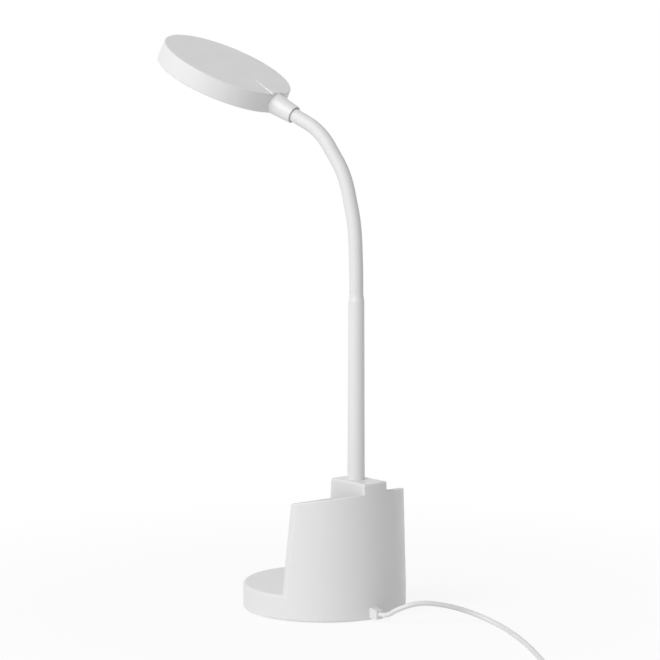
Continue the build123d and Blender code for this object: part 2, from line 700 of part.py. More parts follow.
# ---- Head --------------------------------------------------------------------------------------------
HUB_OUT = HEAD_PLANE.x_dir
HUB_SKETCH = Plane(HEAD_CENTRE, x_dir=HUB_OUT, z_dir=HUB_OUT.cross(HEAD_PLANE.z_dir))
MOUTH_PLANE = Plane(MOUTH, x_dir=PITCH_AXIS, z_dir=HUB_AXIS)
HEAD_TAPER = degrees(atan((HEAD_FOOT_RADIUS - HEAD_TOP_RADIUS) / HEAD_THICKNESS))
BOARD_FACE = HEAD_HALF - BOARD_DROP - BOARD  # the LED board's lower face, above the head's middle
BEZEL_SEAT = BEZEL_LIP - HEAD_HALF

with BuildPart() as hub_ridge:
    with BuildSketch(HEAD_PLANE):
        with BuildLine():
            Polyline((HUB_TIP_AT, 0), (RIDGE_END_AT, -RIDGE_HALF), (RIDGE_END_AT, RIDGE_HALF), close=True)
        make_face()
    extrude(amount=HEAD_HALF + RIDGE_HIGH)
    with BuildSketch(HUB_SKETCH):
        with BuildLine():
            Polyline(
                (HUB_TIP_AT, 0),
                (HUB_TIP_AT, HEAD_HALF + RIDGE_LOW),
                (RIDGE_END_AT, HEAD_HALF + RIDGE_HIGH),
                (RIDGE_END_AT, 0),
                close=True,
            )
        make_face()
    extrude(amount=RIDGE_HALF, both=True, mode=Mode.INTERSECT)

with BuildPart() as head_shell:
    with BuildSketch(HEAD_PLANE.offset(-HEAD_HALF)):
        Circle(HEAD_FOOT_RADIUS)
    extrude(amount=HEAD_THICKNESS, taper=HEAD_TAPER)
    head_rims = head_shell.edges().filter_by(GeomType.CIRCLE).sort_by(SortBy.RADIUS)
    fillet(head_rims[0], HEAD_EDGE)
    fillet(head_shell.edges().filter_by(GeomType.CIRCLE).sort_by(SortBy.RADIUS)[-1], HEAD_EDGE / 2)
    # the socket, which swells where it enters the rim and runs out in the top as a low ridge
    with BuildSketch(HUB_SKETCH):
        with BuildLine():
            Polyline(
                (HUB_TIP_AT, 0),
                (HUB_TIP_AT, HEAD_HALF - HEAD_EDGE / 4),
                (HUB_WIDE_AT, HUB_WIDE_RADIUS),
                (HUB_REACH, HUB_MOUTH_RADIUS),
                (HUB_REACH, 0),
                close=True,
            )
        make_face()
    revolve(axis=Axis(HEAD_CENTRE, HUB_OUT))
    add(hub_ridge.part)
    with BuildSketch(HEAD_PLANE.offset(-HEAD_HALF)):
        Circle(HEAD_FOOT_RADIUS)
    extrude(amount=-HUB_WIDE_RADIUS, mode=Mode.SUBTRACT)
    with BuildSketch(HEAD_PLANE.offset(-HEAD_HALF)):
        Circle(HEAD_INNER)
    extrude(amount=HEAD_THICKNESS - HEAD_WALL, mode=Mode.SUBTRACT)
    with BuildSketch(HEAD_PLANE.offset(HEAD_HALF - BOARD_DROP)):
        with PolarLocations(HEAD_POST_RING, HEAD_POSTS, start_angle=HEAD_POST_TURN):
            Circle(POST_RADIUS)
            Circle(SCREW_RADIUS, mode=Mode.SUBTRACT)
    extrude(amount=BOARD_DROP - HEAD_WALL)
    for radius, depth in (
        (NECK_RADIUS + HUB_RECESS_GAP, HUB_RECESS),
        (SPIGOT_RADIUS, HUB_RECESS + HUB_SPIGOT),
        (NECK_BORE, HUB_REACH - HEAD_INNER + HEAD_WALL),
    ):
        with BuildSketch(MOUTH_PLANE):
            Circle(radius)
        extrude(amount=depth, mode=Mode.SUBTRACT)
save(head_shell, "head_shell")

with BuildPart() as led_board:
    with BuildSketch(HEAD_PLANE.offset(BOARD_FACE)):
        Circle(BOARD_RADIUS)
        with PolarLocations(HEAD_POST_RING, HEAD_POSTS, start_angle=HEAD_POST_TURN):
            Circle(SCREW_RADIUS, mode=Mode.SUBTRACT)
    extrude(amount=BOARD)
save(led_board, "led_board")

with BuildPart() as led_chips:
    with BuildSketch(HEAD_PLANE.offset(BOARD_FACE)):
        with PolarLocations(LED_RING, LED_COUNT):
            Rectangle(LED_SIDE, LED_SIDE)
    extrude(amount=-LED_HEIGHT)
save(led_chips, "led_chips")

with BuildPart() as reflector:
    with BuildSketch(HEAD_PLANE.offset(BOARD_FACE)):
        Circle(BOARD_RADIUS - REFLECTOR)
        with PolarLocations(LED_RING, LED_COUNT):
            Rectangle(LED_SIDE + REFLECTOR, LED_SIDE + REFLECTOR, mode=Mode.SUBTRACT)
        with PolarLocations(HEAD_POST_RING, HEAD_POSTS, start_angle=HEAD_POST_TURN):
            Circle(SCREW_HEAD_RADIUS + REFLECTOR, mode=Mode.SUBTRACT)
        with Locations((LED_PLUG_AT, 0)):
            Rectangle(LED_PLUG[0] + REFLECTOR, LED_PLUG[1] + REFLECTOR, mode=Mode.SUBTRACT)
    extrude(amount=-REFLECTOR / 2)
save(reflector, "reflector")

with BuildPart() as head_screws:
    for start, radius, length in ((0, SCREW_HEAD_RADIUS, -SCREW_HEAD), (0, SCREW_RADIUS, BOARD + SCREW_HEAD)):
        with BuildSketch(HEAD_PLANE.offset(BOARD_FACE + start)):
            with PolarLocations(HEAD_POST_RING, HEAD_POSTS, start_angle=HEAD_POST_TURN):
                Circle(radius)
        extrude(amount=length)
save(head_screws, "head_screws")

with BuildPart() as led_connector:
    with BuildSketch(HEAD_PLANE.offset(BOARD_FACE)):
        with Locations((LED_PLUG_AT, 0)):
            Rectangle(LED_PLUG[0], LED_PLUG[1])
    extrude(amount=-LED_PLUG[2])
save(led_connector, "led_connector")

with BuildPart() as diffuser:
    with BuildSketch(HEAD_PLANE.offset(BEZEL_SEAT)):
        Circle(DIFFUSER_RADIUS)
    extrude(amount=DIFFUSER)
save(diffuser, "diffuser")

with BuildPart() as bezel_ring:
    with BuildSketch(HEAD_PLANE.offset(-HEAD_HALF)):
        Circle(HEAD_INNER - BEZEL_GAP)
        Circle(BEZEL_INNER, mode=Mode.SUBTRACT)
    extrude(amount=BEZEL_LIP)
    with BuildSketch(HEAD_PLANE.offset(BEZEL_SEAT)):
        Circle(HEAD_INNER - BEZEL_GAP)
        Circle(DIFFUSER_RADIUS + BEZEL_GAP, mode=Mode.SUBTRACT)
    extrude(amount=DIFFUSER)
save(bezel_ring, "bezel_ring")


# ---- Leads and the supply cable ----------------------------------------------------------------------
def tube(wire, radius, name):
    """Sweep a round section along a wire, save it, and print its volume beside section times length."""
    with BuildPart() as swept:
        with BuildSketch(Plane(wire @ 0, z_dir=wire % 0)):
            Circle(radius)
        sweep(path=wire)
    save(swept, name)
    print(name, "length", round(wire.length, 1), "volume", round(swept.part.volume), end=" ")
    print("of", round(pi * radius**2 * wire.length))


def bend_radii(route):
    """Radius for each corner of a cable's route: as large as its two runs allow."""
    points = [Vector(*point) for point in route]
    runs = [after - before for before, after in zip(points, points[1:])]
    radii = []
    for before, after in zip(runs, runs[1:]):
        half_turn = radians(before.get_angle(after)) / 2
        radii.append(RUN_SHARE * min(before.length, after.length) / tan(half_turn))
    return radii


CONNECTOR_FACE = DIMMER_Y + DIMMER_SIZE[1] / 2

with BuildLine() as lead_path:
    FilletPolyline(
        (0, CONNECTOR_FACE, LEAD_Z),
        (0, LEAD_BACK_Y, LEAD_Z),
        (0, LEAD_BACK_Y, LEAD_TURN_Z),
        (0, POLE_Y, LEAD_TURN_Z),
        (0, POLE_Y, POLE_TOP),
        radius=LEAD_BEND,
    )
    start = Vector(0, POLE_Y, POLE_TOP)
    for joint, place in enumerate(JOINTS):
        before, after = neck_direction(LEANS[joint]), neck_direction(LEANS[joint + 1])
        finish = place + after * (JOINT_PITCH / 2)
        if before.get_angle(after) > STRAIGHT:
            TangentArc(start, finish, tangent=before)
        else:
            Line(start, finish)
        start = finish
    Line(MOUTH, HEAD_CENTRE + HUB_OUT * (LED_PLUG_AT + LED_PLUG[0] / 2))
tube(lead_path.wire(), LEAD_RADIUS, "lamp_lead")

with BuildLine() as supply_path:
    FilletPolyline(
        (RELIEF_X, BASE_RADIUS - 2 * WALL - RELIEF_CLAMP, EXIT_Z),
        (RELIEF_X, SUPPLY_BEND_Y, EXIT_Z),
        (RELIEF_X, SUPPLY_BEND_Y, LEAD_Z),
        (RELIEF_X, CONNECTOR_FACE, LEAD_Z),
        radius=SUPPLY_BEND,
    )
tube(supply_path.wire(), CABLE_RADIUS, "supply_lead")

cable_radii = bend_radii(CABLE_ROUTE)
print("usb_cable radii", [round(radius, 1) for radius in cable_radii])
with BuildLine() as cable_path:
    FilletPolyline(*CABLE_ROUTE, radius=cable_radii)
tube(cable_path.wire(), CABLE_RADIUS, "usb_cable")

# The coil, in a frame with the cable arriving along Y on the -X side. Its lower layer winds in and its
# upper layer winds out. Each half turn runs from one place on X to the next, on the other side.
COIL_OUT = COIL_MIDDLE + COIL_TURNS / 2 * COIL_PITCH
ARRIVAL = (Vector(*CABLE_ROUTE[-1]) - Vector(*CABLE_ROUTE[-2])).normalized()
COIL_SIDE = ARRIVAL.cross(Vector(0, 0, 1))
COIL_CENTRE = Vector(*CABLE_ROUTE[-1]) + ARRIVAL * (2 * CABLE_RADIUS) + COIL_SIDE * COIL_OUT
COIL_PLANE = Plane(COIL_CENTRE, x_dir=COIL_SIDE, z_dir=(0, 0, 1))

lower_ends = [COIL_OUT - step * COIL_PITCH / 2 for step in range(2 * COIL_TURNS + 1)]
inner_end = lower_ends[-1] - COIL_PITCH / 2
upper_ends = [inner_end + COIL_PITCH + step * COIL_PITCH / 2 for step in range(2 * COIL_TURNS - 1)]


def half_turns(ends, side, level):
    """Half turns through a row of places on X, on alternate sides of the middle, from one side on."""
    for before, after in zip(ends, ends[1:]):
        start, finish = side * before, -side * after
        ThreePointArc(
            (start, 0, level),
            ((start + finish) / 2, -side * (before + after) / 2, level),
            (finish, 0, level),
        )
        side = -side


with BuildLine() as coil_path:
    Line((-COIL_OUT, -2 * CABLE_RADIUS, 0), (-COIL_OUT, 0, 0))
    half_turns(lower_ends, -1, 0)
    climb_start = (-lower_ends[-1], 0, 0)
    climb_reach = hypot((lower_ends[-1] + inner_end) / 2, COIL_RISE / 2)
    climb_middle = ((inner_end - lower_ends[-1]) / 2, climb_reach, COIL_RISE / 2)
    climb_finish = (inner_end, 0, COIL_RISE)
    TangentArc(climb_start, climb_middle, tangent=(0, 1, 0))
    TangentArc(climb_finish, climb_middle, tangent=(0, 1, 0))
    half_turns([inner_end] + upper_ends, 1, COIL_RISE)
    Line((-upper_ends[-1], 0, COIL_RISE), (-upper_ends[-1], 2 * CABLE_RADIUS, COIL_RISE))
coil_wire = COIL_PLANE.from_local_coords(coil_path.wire())
tube(coil_wire, CABLE_RADIUS, "usb_cable_coil")


def least_gap(wire, count, apart):
    """Least gap between stretches of a tube that lie some length apart along its wire."""
    points = [tuple(wire @ (step / count)) for step in range(count + 1)]
    skip = round(apart / wire.length * count)
    nearest = min(
        dist(points[first], points[second])
        for first in range(count + 1)
        for second in range(first + skip, count + 1)
    )
    return nearest - 2 * CABLE_RADIUS


coil_gap = least_gap(coil_wire, GAP_POINTS, 4 * 2 * CABLE_RADIUS)
print("usb_cable_coil least gap to itself", round(coil_gap, 2), "of at least", LEAST_GAP)

TAIL_START = COIL_PLANE.from_local_coords((-upper_ends[-1], 2 * CABLE_RADIUS, COIL_RISE))
TAIL_PLANE = Plane(TAIL_START, x_dir=COIL_SIDE, z_dir=(0, 0, 1))
tail_points = [TAIL_PLANE.from_local_coords(point) for point in TAIL_ROUTE]
tail_radii = bend_radii([tuple(point) for point in tail_points])
print("usb_cable_tail radii", [round(radius, 1) for radius in tail_radii])
with BuildLine() as tail_path:
    FilletPolyline(*tail_points, radius=tail_radii)
tube(tail_path.wire(), CABLE_RADIUS, "usb_cable_tail")

# ---- Plug --------------------------------------------------------------------------------------------
PLUG_WAY = (tail_points[-1] - tail_points[-2]).normalized()
PLUG_PLANE = Plane(tail_points[-1], x_dir=PLUG_WAY.cross(Vector(0, 0, 1)), z_dir=PLUG_WAY)
SHELL_PLANE = PLUG_PLANE.offset(PLUG_BODY[1])

with BuildPart() as usb_plug_body:
    with BuildSketch(PLUG_PLANE):
        Rectangle(PLUG_BODY[0], PLUG_BODY[2])
    extrude(amount=PLUG_BODY[1])
    long_edges = usb_plug_body.edges().filter_by(lambda edge: edge.length > PLUG_BODY[1] - 1)
    fillet(long_edges, PLUG_EDGE)
    fillet(usb_plug_body.faces().sort_by_distance(PLUG_PLANE.origin)[0].edges(), PLUG_EDGE / 2)
save(usb_plug_body, "usb_plug_body")

with BuildPart() as usb_plug_shell:
    with BuildSketch(SHELL_PLANE):
        Rectangle(PLUG_SHELL[0], PLUG_SHELL[2])
        Rectangle(PLUG_SHELL[0] - 2 * PLUG_SHEET, PLUG_SHELL[2] - 2 * PLUG_SHEET, mode=Mode.SUBTRACT)
    extrude(amount=PLUG_SHELL[1])
save(usb_plug_shell, "usb_plug_shell")

with BuildPart() as usb_plug_tongue:
    with BuildSketch(SHELL_PLANE):
        with Locations((0, (PLUG_TONGUE[2] - PLUG_SHELL[2]) / 2 + PLUG_SHEET)):
            Rectangle(PLUG_TONGUE[0], PLUG_TONGUE[2])
    extrude(amount=PLUG_TONGUE[1])
save(usb_plug_tongue, "usb_plug_tongue")
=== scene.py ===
"""Looks of the desk lamp with an organiser base: materials, the neck's smooth sleeve, the supply cable,
floor, light and camera. Metres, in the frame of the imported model: +Z up, the user sits at -Y."""

from math import cos, pi, radians, sin, tan

import bpy
from mathutils import Matrix, Vector
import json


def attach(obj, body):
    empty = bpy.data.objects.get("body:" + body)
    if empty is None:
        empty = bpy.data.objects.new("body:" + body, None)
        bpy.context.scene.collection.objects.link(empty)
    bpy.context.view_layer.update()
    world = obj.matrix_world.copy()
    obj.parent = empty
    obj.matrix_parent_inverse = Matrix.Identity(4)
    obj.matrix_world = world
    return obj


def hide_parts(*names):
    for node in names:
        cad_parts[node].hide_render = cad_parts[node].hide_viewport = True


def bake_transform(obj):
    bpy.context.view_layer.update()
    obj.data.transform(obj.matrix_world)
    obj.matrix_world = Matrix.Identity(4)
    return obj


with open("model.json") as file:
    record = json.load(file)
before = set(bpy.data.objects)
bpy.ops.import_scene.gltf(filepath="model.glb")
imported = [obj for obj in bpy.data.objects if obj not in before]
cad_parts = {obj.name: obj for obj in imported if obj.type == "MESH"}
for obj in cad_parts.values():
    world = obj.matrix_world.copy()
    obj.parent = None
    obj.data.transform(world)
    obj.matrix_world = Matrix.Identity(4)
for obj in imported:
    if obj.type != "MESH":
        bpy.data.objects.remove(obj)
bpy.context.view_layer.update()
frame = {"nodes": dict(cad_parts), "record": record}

# ---- Sizes that the source sets: metres, degrees and counts ------------------------------------------
POLE_Y = 0.0384
POLE_TOP = 0.2510
NECK_RADIUS = 0.00545
NECK_CONE = 0.0018  # the cone at the pole's top ends this far up the neck
CONE_RADIUS = 0.00579  # radius of that cone at the neck's foot
NECK_LENGTH = 0.1636
NECK_JOINTS = 12
SWAY_EVERY = 3  # one joint in so many bends sideways
NECK_LEAN = 63.9  # degrees from upright at the head
NECK_TURN = 18.0  # degrees that the neck's plane is turned from straight ahead
BEND_END = 0.1540  # the neck is straight from here on
BEND_POWER = 2.24  # up to there it leans by this power of the way
HUB_RECESS = 0.0040
CABLE_RADIUS = 0.00195
RELIEF_BACK = (0.0049, 0.0726, 0.0062)
CABLE_ROUTE = (
    RELIEF_BACK,
    (0.0049, 0.0806, 0.0062),
    (0.0036, 0.0912, 0.0134),
    (-0.0100, 0.1028, 0.0190),
    (-0.0285, 0.1130, 0.0156),
    (-0.0472, 0.1215, 0.0086),
    (-0.0555, 0.1405, 0.0020),
    (-0.0442, 0.1670, 0.0020),
    (-0.0258, 0.2035, 0.0020),
    (0.0020, 0.2480, 0.0020),
    (0.0250, 0.2830, 0.0020),
    (0.0480, 0.3145, 0.0020),
)
TAIL_ROUTE = (  # across and along from the coil's end, and down from it
    (0.0, 0.0, 0.0),
    (-0.0017, 0.0162, 0.0),
    (0.0073, 0.0342, -0.0025),
    (0.0263, 0.0392, -0.0025),
)
COIL_MIDDLE = 0.0225  # radius at the middle of the coil's turns
COIL_PITCH = 0.0045  # between the turns of a layer
COIL_RISE = 0.0045  # between the two layers
COIL_TURNS = 4  # in the lower layer

PITCH = NECK_LENGTH / NECK_JOINTS


def add_object(name, data):
    """A new object, put into the scene."""
    piece = bpy.data.objects.new(name, data)
    bpy.context.scene.collection.objects.link(piece)
    return piece


# ---- Materials ---------------------------------------------------------------------------------------
NOISE_LOW, NOISE_HIGH = 0.3, 0.7  # nearly all of a noise lies between these
FINE_DETAIL = 2
RICH_DETAIL = 4
FLOW_SCALE = 18
GLOSS_SCALE = 60
GLOSS_SPREAD = 0.05
GRAIN_STRENGTH = 0.5
COAT_ROUGHNESS = 0.25
STREAK_SHADE = 0.85  # the darker streaks of a metal, as a share of its colour
STREAK_STRENGTH = 0.6


class Nodes:
    """A new node material, with short calls for the nodes that the materials here share."""

    def __init__(self, name):
        self.material = bpy.data.materials.new(name)
        self.material.use_nodes = True
        self.tree = self.material.node_tree
        self.shader = self.tree.nodes["Principled BSDF"]
        self.place = self.add("ShaderNodeTexCoord").outputs["Object"]

    def add(self, kind, **values):
        node = self.tree.nodes.new(kind)
        for key, value in values.items():
            setattr(node, key, value)
        return node

    def link(self, start, end):
        self.tree.links.new(start, end)

    def noise(self, scale, detail=3, stretch=(1, 1, 1)):
        """Noise in the part's own metres, as one output from 0 to 1."""
        mapping = self.add("ShaderNodeMapping")
        mapping.inputs["Scale"].default_value = stretch
        noise = self.add("ShaderNodeTexNoise")
        noise.inputs["Scale"].default_value = scale
        noise.inputs["Detail"].default_value = detail
        self.link(self.place, mapping.inputs["Vector"])
        self.link(mapping.outputs["Vector"], noise.inputs["Vector"])
        return noise.outputs["Fac"]

    def spread(self, value, low, high, start=NOISE_LOW, end=NOISE_HIGH):
        """A value that goes from low to high while the given one goes from start to end."""
        spread = self.add("ShaderNodeMapRange")
        spread.inputs["From Min"].default_value = start
        spread.inputs["From Max"].default_value = end
        spread.inputs["To Min"].default_value = low
        spread.inputs["To Max"].default_value = high
        self.link(value, spread.inputs["Value"])
        return spread.outputs["Result"]

    def roughness(self, factor, low, high):
        """Sends a roughness that varies from low to high into the shader."""
        self.link(self.spread(factor, low, high), self.shader.inputs["Roughness"])

    def colours(self, factor, low, high):
        """Sends a colour that varies between two into the shader's base colour."""
        mix = self.add("ShaderNodeMix", data_type="RGBA")
        mix.inputs["A"].default_value = (*low, 1)
        mix.inputs["B"].default_value = (*high, 1)
        self.link(factor, mix.inputs["Factor"])
        self.link(mix.outputs["Result"], self.shader.inputs["Base Color"])

    def relief(self, height, distance, strength):
        """Bumps of a height in metres."""
        bump = self.add("ShaderNodeBump")
        bump.inputs["Distance"].default_value = distance
        bump.inputs["Strength"].default_value = strength
        self.link(height, bump.inputs["Height"])
        self.link(bump.outputs["Normal"], self.shader.inputs["Normal"])


def moulded(name, colour, rough, grain=1400, depth=0.00002, spread=0.015, coat=0.0):
    """Moulded plastic or rubber: faint flow marks in the colour, fine grain and uneven gloss."""
    nodes = Nodes(name)
    darker = [max(channel - spread, 0) for channel in colour]
    nodes.colours(nodes.noise(FLOW_SCALE, RICH_DETAIL), darker, colour)
    gloss = nodes.noise(GLOSS_SCALE, FINE_DETAIL)
    nodes.roughness(gloss, rough - GLOSS_SPREAD, rough + GLOSS_SPREAD)
    nodes.relief(nodes.noise(grain, FINE_DETAIL), depth, GRAIN_STRENGTH)
    nodes.shader.inputs["Coat Weight"].default_value = coat
    nodes.shader.inputs["Coat Roughness"].default_value = COAT_ROUGHNESS
    return nodes.material


def metal(name, colour, rough, stretch=(1, 1, 1), scale=900, depth=0.00001):
    """Bare metal, brushed or cast: streaks in the gloss and a fine relief along them."""
    nodes = Nodes(name)
    streaks = nodes.noise(scale, RICH_DETAIL, stretch)
    darker = [channel * STREAK_SHADE for channel in colour]
    nodes.colours(streaks, darker, colour)
    nodes.roughness(streaks, rough - 0.08, rough + 0.1)
    nodes.relief(streaks, depth, STREAK_STRENGTH)
    nodes.shader.inputs["Metallic"].default_value = 1.0
    return nodes.material


def circuit(name, lacquer, lighter, track):
    """Lacquered board with faint copper tracks under the lacquer."""
    nodes = Nodes(name)
    tracks = nodes.add("ShaderNodeTexBrick", offset=0.5)
    tracks.inputs["Scale"].default_value = 260
    for socket, colour in (("Color1", lacquer), ("Color2", lighter), ("Mortar", track)):
        tracks.inputs[socket].default_value = (*colour, 1)
    nodes.link(nodes.place, tracks.inputs["Vector"])
    nodes.link(tracks.outputs["Color"], nodes.shader.inputs["Base Color"])
    nodes.roughness(nodes.noise(300), 0.25, 0.4)
    nodes.relief(tracks.outputs["Fac"], 0.00003, 0.4)
    return nodes.material


def frosted(name, low, high):
    """Frosted light cover: a milky plastic that lets some light through."""
    nodes = Nodes(name)
    nodes.colours(nodes.noise(25), low, high)
    grain = nodes.noise(2500, FINE_DETAIL)
    nodes.roughness(grain, 0.45, 0.6)
    nodes.relief(grain, 0.00002, GRAIN_STRENGTH)
    nodes.shader.inputs["Transmission Weight"].default_value = 0.25
    nodes.shader.inputs["Subsurface Weight"].default_value = 0.4
    nodes.shader.inputs["Subsurface Radius"].default_value = (0.004, 0.004, 0.004)
    nodes.shader.inputs["Subsurface Scale"].default_value = 1.0
    return nodes.material


def grey(level):
    """A colour without a tint."""
    return (level, level, level)


WHITE = (0.80, 0.80, 0.81)
looks = {
    "white_plastic": moulded("shell_white", WHITE, 0.38, coat=0.15),
    "grey_plastic": moulded("plate_grey", grey(0.62), 0.55, grain=900, depth=0.00004, spread=0.03),
    "rubber": moulded("foot_rubber", grey(0.045), 0.8, grain=1200, depth=0.00005, spread=0.01),
    "steel": metal("screw_steel", (0.60, 0.60, 0.61), 0.3, stretch=(1, 1, 8)),
    "cast_iron": metal("weight_iron", (0.16, 0.16, 0.17), 0.6, scale=500, depth=0.0001),
    "circuit_board": circuit(
        "board_green", lacquer=(0.02, 0.16, 0.06), lighter=(0.03, 0.20, 0.08), track=(0.05, 0.26, 0.11)
    ),
    "chip_plastic": moulded("chip_black", (0.03, 0.03, 0.035), 0.5),
    "connector_plastic": moulded("connector_ivory", (0.78, 0.76, 0.68), 0.45),
    "key_plastic": moulded(
        "key_white", (0.74, 0.74, 0.76), 0.28, grain=1000, depth=0.00001, spread=0.01, coat=0.4
    ),
    "spring_metal": metal("contact_brass", (0.70, 0.52, 0.25), 0.3),
    "tray_plastic": moulded("tray_white", grey(0.78), 0.5, grain=1100, depth=0.00003),
    "white_metal": moulded("pole_paint", WHITE, 0.33, grain=1600, spread=0.01, coat=0.2),
    "white_sleeve": moulded(
        "neck_silicone", (0.79, 0.79, 0.80), 0.55, grain=2200, depth=0.00001, spread=0.01
    ),
    "white_board": moulded("led_board_white", (0.82, 0.82, 0.79), 0.4),
    "led_yellow": moulded("led_phosphor", (0.85, 0.68, 0.18), 0.35, grain=1500, spread=0.05),
    "reflector_white": moulded("reflector_white", grey(0.88), 0.6),
    "frosted_plastic": frosted("diffuser_frosted", low=(0.86, 0.86, 0.83), high=(0.90, 0.90, 0.87)),
    "lead_white": moulded("lead_white", grey(0.75), 0.5),
    "cable_white": moulded("cable_white", grey(0.80), 0.42, grain=1800, depth=0.00001, spread=0.02),
    "plug_white": moulded("plug_white", grey(0.79), 0.45, grain=1100, depth=0.00004, spread=0.02),
    "tongue_plastic": moulded("tongue_white", (0.76, 0.76, 0.74), 0.5),
}

CREASE = 32  # degrees from which an edge is shaded sharp
HEAD_CREASE = 9  # the ridge on the head's flat top rises at a low angle, and still shows as an edge


def dress(piece, material, crease=CREASE):
    """Gives a piece one material, and smooth shading that breaks at edges of so many degrees."""
    piece.data.materials.clear()
    piece.data.materials.append(material)
    piece.data.polygons.foreach_set("use_smooth", [True] * len(piece.data.polygons))
    piece.data.set_sharp_from_angle(angle=radians(crease))


for entry in frame["record"]["subparts"]:
    crease = HEAD_CREASE if entry["node"] == "head_shell" else CREASE
    dress(frame["nodes"][entry["node"]], looks[entry["material_slot"]], crease)


# ---- Neck: one smooth sleeve, in a length for each joint --------------------------------------------
SLEEVE_STEPS = 16  # along each length of the sleeve
SLEEVE_SIDES = 64
STRAIGHT = 0.002  # radians up to which two lengths count as in line
SOCKET_GAP = 0.0001  # between the sleeve's end and the floor of the head's socket


def sways(joint):
    """True for a joint of the neck that bends sideways."""
    return joint % SWAY_EVERY == SWAY_EVERY - 1


def neck_direction(lean):
    """Unit vector along the neck where it leans by so many degrees."""
    turn = radians(NECK_TURN)
    side = sin(radians(lean))
    return Vector((side * sin(turn), -side * cos(turn), cos(radians(lean))))


def link_leans():
    """Lean of each length of neck: it changes only at the joints that bend forwards."""
    leans, lean = [0.0], 0.0
    for joint in range(NECK_JOINTS):
        if not sways(joint):
            along = (joint + (1.5 if sways(joint + 1) else 1.0)) * PITCH
            lean = NECK_LEAN * min(along / BEND_END, 1.0) ** BEND_POWER
        leans.append(lean)
    leans[-1] = leans[-2] = NECK_LEAN
    return leans


def bend_path(start, before, after):
    """Places and directions along an arc of one pitch, which turns from one direction to the next."""
    shares = [step / SLEEVE_STEPS for step in range(SLEEVE_STEPS + 1)]
    turn = before.angle(after)
    if turn < STRAIGHT:
        return [(start + before * (PITCH * share), before.copy()) for share in shares]
    inward = (after - before * cos(turn)) / sin(turn)
    radius = PITCH / 2 / tan(turn / 2)
    path = []
    for share in shares:
        angle = turn * share
        place = start + radius * (sin(angle) * before + (1 - cos(angle)) * inward)
        path.append((place, cos(angle) * before + sin(angle) * inward))
    return path


def tube(name, rings):
    """A tube through rings of (place, direction, radius), round one steady side direction."""
    across = Vector((cos(radians(NECK_TURN)), sin(radians(NECK_TURN)), 0))
    vertices, faces = [], []
    for place, direction, radius in rings:
        other = direction.cross(across).normalized()
        for side in range(SLEEVE_SIDES):
            angle = 2 * pi * side / SLEEVE_SIDES
            vertices.append(place + radius * (cos(angle) * across + sin(angle) * other))
    for first in range(0, len(vertices) - SLEEVE_SIDES, SLEEVE_SIDES):
        for side in range(SLEEVE_SIDES):
            here, there = first + side, first + (side + 1) % SLEEVE_SIDES
            faces.append((here, there, there + SLEEVE_SIDES, here + SLEEVE_SIDES))
    mesh = bpy.data.meshes.new(name)
    mesh.from_pydata(vertices, [], faces)
    mesh.validate()
    return add_object(name, mesh)


def sleeve_radius(along):
    """Radius so far up the neck: a short cone leads from the pole's top to the sleeve."""
    return NECK_RADIUS + (CONE_RADIUS - NECK_RADIUS) * max(1 - along / NECK_CONE, 0)


leans = link_leans()
start = Vector((0, POLE_Y, POLE_TOP))
for joint in range(NECK_JOINTS):
    before, after = neck_direction(leans[joint]), neck_direction(leans[joint + 1])
    path = bend_path(start, before, after)
    rings = [
        (place, direction, sleeve_radius((joint + step / SLEEVE_STEPS) * PITCH))
        for step, (place, direction) in enumerate(path)
    ]
    finish = path[-1][0]
    if joint == NECK_JOINTS - 1:
        rings.append((finish + after * (HUB_RECESS - SOCKET_GAP), after, NECK_RADIUS))
    sleeve = tube(f"neck_sleeve_{joint + 1:02d}", rings)
    dress(sleeve, looks["white_sleeve"])
    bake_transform(sleeve)
    if joint == 0:
        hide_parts("neck_foot", "neck_segment_01", "lamp_lead")
    elif joint == NECK_JOINTS - 1:
        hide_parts("neck_end")
    else:
        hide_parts(f"neck_segment_{joint + 1:02d}")
    start = finish


# ---- Supply cable: one spline from the strain relief through the coil to the plug ---------------------
def coil_points(per_half=8):
    """The coil's control points: each half turn on its own circle, in the coil's frame."""
    out = COIL_MIDDLE + COIL_TURNS / 2 * COIL_PITCH
    lower = [out - step * COIL_PITCH / 2 for step in range(2 * COIL_TURNS + 1)]
    inner = lower[-1] - COIL_PITCH / 2
    upper = [inner] + [inner + COIL_PITCH * (1 + step / 2) for step in range(2 * COIL_TURNS - 1)]
    ends = lower + upper
    # the spline touches the sides of its control polygon, so the corners lie outside the circle
    stretch = 1 / cos(pi / per_half / 2)
    points, side = [], -1
    for turn, (here, there) in enumerate(zip(ends, ends[1:])):
        middle, radius = side * (here - there) / 2, (here + there) / 2
        climb = turn - (len(lower) - 1)
        for step in range(per_half):
            share = (step + 0.5) / per_half
            level = COIL_RISE * min(max(climb + share, 0), 1)
            along = -side * sin(pi * share) * radius * stretch
            points.append((middle + side * cos(pi * share) * radius * stretch, along, level))
        side = -side
    return points, out, upper[-1]


arrival = (Vector(CABLE_ROUTE[-1]) - Vector(CABLE_ROUTE[-2])).normalized()
coil_side = arrival.cross(Vector((0, 0, 1)))
ring_points, coil_out, coil_last = coil_points()
coil_centre = Vector(CABLE_ROUTE[-1]) + arrival * (2 * CABLE_RADIUS) + coil_side * coil_out
coil_frame = Matrix.Translation(coil_centre) @ Matrix(
    [(*pair, height, 0) for *pair, height in zip(coil_side, arrival, (0, 0, 1))] + [(0, 0, 0, 1)]
)
tail_start = Vector((-coil_last, 2 * CABLE_RADIUS, COIL_RISE))
route = [Vector(point) for point in CABLE_ROUTE]
route += [coil_frame @ Vector(point) for point in ring_points]
route += [coil_frame @ (tail_start + Vector(point)) for point in TAIL_ROUTE]

